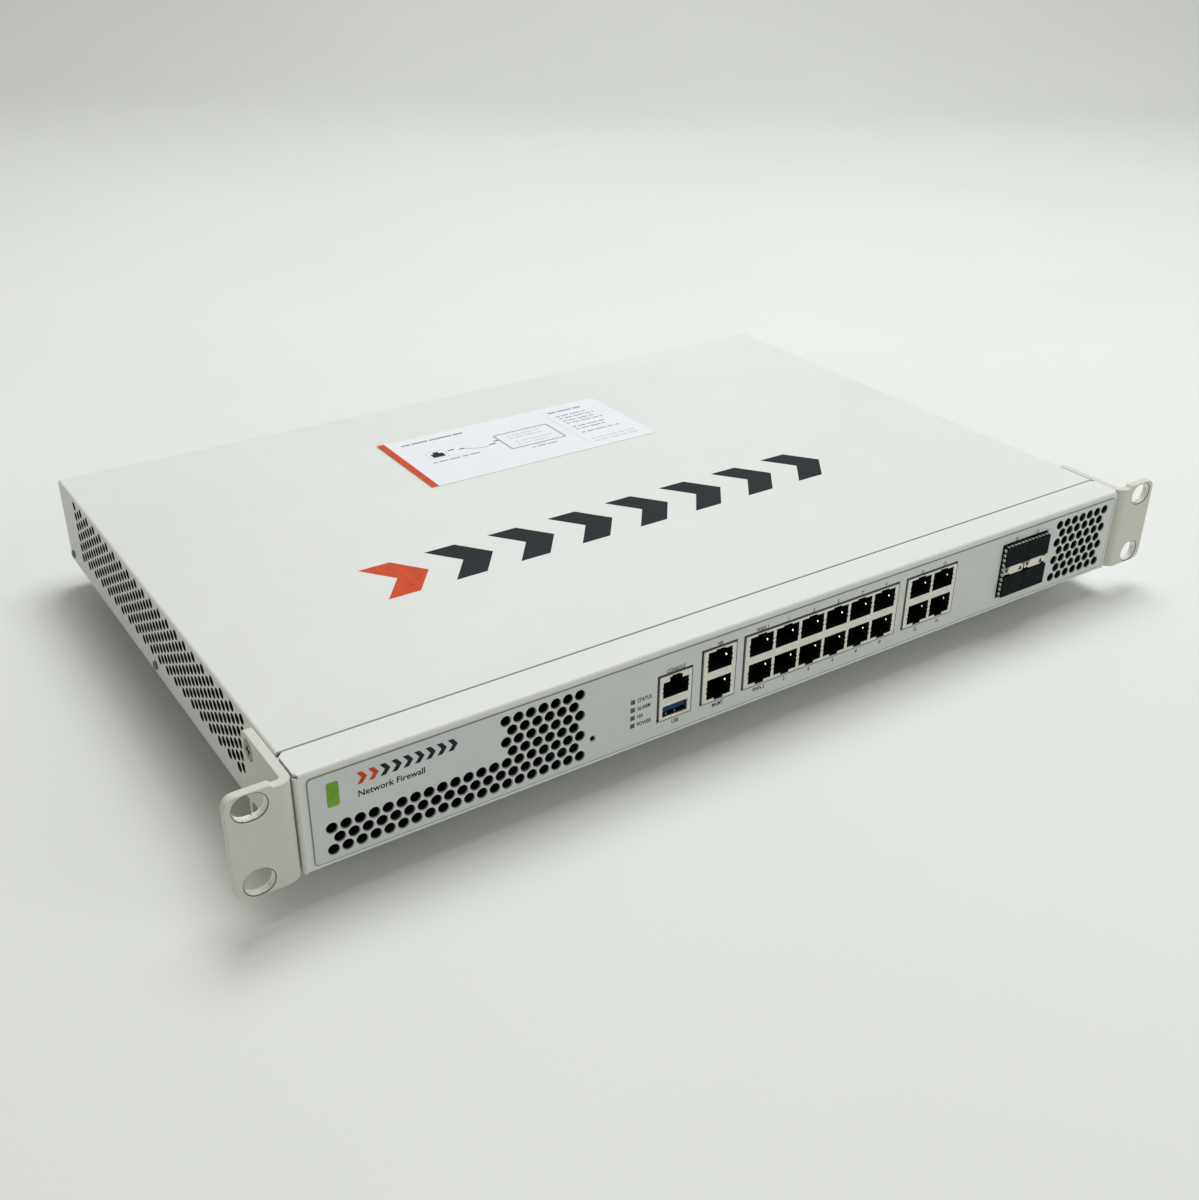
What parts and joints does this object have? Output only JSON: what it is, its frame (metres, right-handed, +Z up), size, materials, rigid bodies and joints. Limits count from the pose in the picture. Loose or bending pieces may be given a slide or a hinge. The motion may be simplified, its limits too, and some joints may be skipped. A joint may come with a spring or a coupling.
{
  "type": "rack-mount network firewall appliance",
  "caption": "One-rack-unit steel network appliance with rack ears, a front row of network jacks, a cage for pluggable modules, perforated sides, a mains inlet and rear fans.",
  "frame": {"origin": "centre of the bounding box in plan, at the underside of the rubber feet", "axes": "+X to the right seen from the front, along the 19-inch panel width; +Y from the front panel to the back; +Z up"},
  "size_m": [0.4826, 0.2948, 0.0581],
  "materials": {
    "case_paint": "satin powder coat, warm off-white",
    "overlay_film": "printed polyester film, cool silver-grey",
    "label_film": "printed paper-film label, white with a red-orange edge",
    "foot_rubber": "matt",
    "ear_paint": "satin powder coat, worn to bare metal at the rack holes",
    "screw_steel": "zinc plated",
    "jack_shield": "nickel-plated spring steel, warm",
    "cage_metal": "nickel-plated spring steel",
    "strip_plastic": "moulded, cream",
    "plug_plastic": "moulded, blue-black",
    "clear_plastic": "moulded light pipe",
    "switch_plastic": "moulded",
    "board_green": "solder mask on glass-fibre board",
    "sink_aluminium": "extruded",
    "battery_steel": "plain",
    "board_brown": "paper-based board",
    "transformer_tape": "taped winding on a dark core",
    "capacitor_sleeve": "shrink sleeve",
    "choke_wire": "enamelled copper winding",
    "inlet_plastic": "moulded",
    "lead_insulation": "sleeved leads",
    "fan_plastic": "moulded"
  },
  "bodies": {
    "chassis": {"base_pan": "case_paint", "front_panel": "case_paint", "top_cover": "case_paint", "rear_panel": "case_paint", "front_overlay": "overlay_film", "top_label": "label_film", "foot_front_left": "foot_rubber", "foot_front_right": "foot_rubber", "foot_rear_left": "foot_rubber", "foot_rear_right": "foot_rubber", "rack_ear_left": "ear_paint", "rack_ear_right": "ear_paint", "ear_screw_left_upper": "screw_steel", "ear_screw_left_lower": "screw_steel", "ear_screw_right_upper": "screw_steel", "ear_screw_right_lower": "screw_steel", "cover_screw_left_middle": "screw_steel", "cover_screw_left_rear": "screw_steel", "cover_screw_right_middle": "screw_steel", "cover_screw_right_rear": "screw_steel", "management_jack": "jack_shield", "network_jack_twelve": "jack_shield", "network_jack_four": "jack_shield", "console_usb_jack": "jack_shield", "module_cage": "cage_metal", "module_indicator_strip": "strip_plastic", "status_light_pipe": "clear_plastic", "reset_switch": "switch_plastic", "main_board": "board_green", "memory_module": "board_green", "storage_card": "board_green", "processor_heat_sink": "sink_aluminium", "network_chip_heat_sink": "sink_aluminium", "power_heat_sink": "sink_aluminium", "clock_battery": "battery_steel", "power_board": "board_brown", "power_transformer": "transformer_tape", "bulk_capacitor": "capacitor_sleeve", "line_choke": "choke_wire", "mains_inlet": "inlet_plastic", "ground_screw": "screw_steel", "mains_leads": "lead_insulation", "board_power_leads": "lead_insulation", "fan_leads_1": "lead_insulation", "fan_leads_2": "lead_insulation", "fan_leads_3": "lead_insulation", "fan_frame_1": "fan_plastic", "fan_frame_2": "fan_plastic", "fan_frame_3": "fan_plastic"},
    "fan_rotor_1": {"fan_rotor_1": "fan_plastic"},
    "fan_rotor_2": {"fan_rotor_2": "fan_plastic"},
    "fan_rotor_3": {"fan_rotor_3": "fan_plastic"},
    "dust_plug_lower_left": {"dust_plug_lower_left": "plug_plastic"},
    "dust_plug_lower_right": {"dust_plug_lower_right": "plug_plastic"},
    "dust_plug_upper_left": {"dust_plug_upper_left": "plug_plastic"},
    "dust_plug_upper_right": {"dust_plug_upper_right": "plug_plastic"},
    "reset_button": {"reset_button": "switch_plastic"}
  },
  "joints": [
    {"name": "fan_1_spin", "type": "hinge", "parent": "chassis", "child": "fan_rotor_1", "pos_m": [0.062, 0.1278, 0.03585], "axis": [0, 1, 0], "continuous": true},
    {"name": "fan_2_spin", "type": "hinge", "parent": "chassis", "child": "fan_rotor_2", "pos_m": [0.108, 0.1278, 0.03585], "axis": [0, 1, 0], "continuous": true},
    {"name": "fan_3_spin", "type": "hinge", "parent": "chassis", "child": "fan_rotor_3", "pos_m": [0.154, 0.1278, 0.03585], "axis": [0, 1, 0], "continuous": true},
    {"name": "dust_plug_lower_left_pull", "type": "slide", "parent": "chassis", "child": "dust_plug_lower_left", "axis": [0, -1, 0], "range_m": [0, 0.02]},
    {"name": "dust_plug_lower_right_pull", "type": "slide", "parent": "chassis", "child": "dust_plug_lower_right", "axis": [0, -1, 0], "range_m": [0, 0.02]},
    {"name": "dust_plug_upper_left_pull", "type": "slide", "parent": "chassis", "child": "dust_plug_upper_left", "axis": [0, -1, 0], "range_m": [0, 0.02]},
    {"name": "dust_plug_upper_right_pull", "type": "slide", "parent": "chassis", "child": "dust_plug_upper_right", "axis": [0, -1, 0], "range_m": [0, 0.02]},
    {"name": "reset_press", "type": "slide", "parent": "chassis", "child": "reset_button", "axis": [0, 1, 0], "range_m": [0, 0.0005], "stiffness_N_per_m": 200}
  ]
}
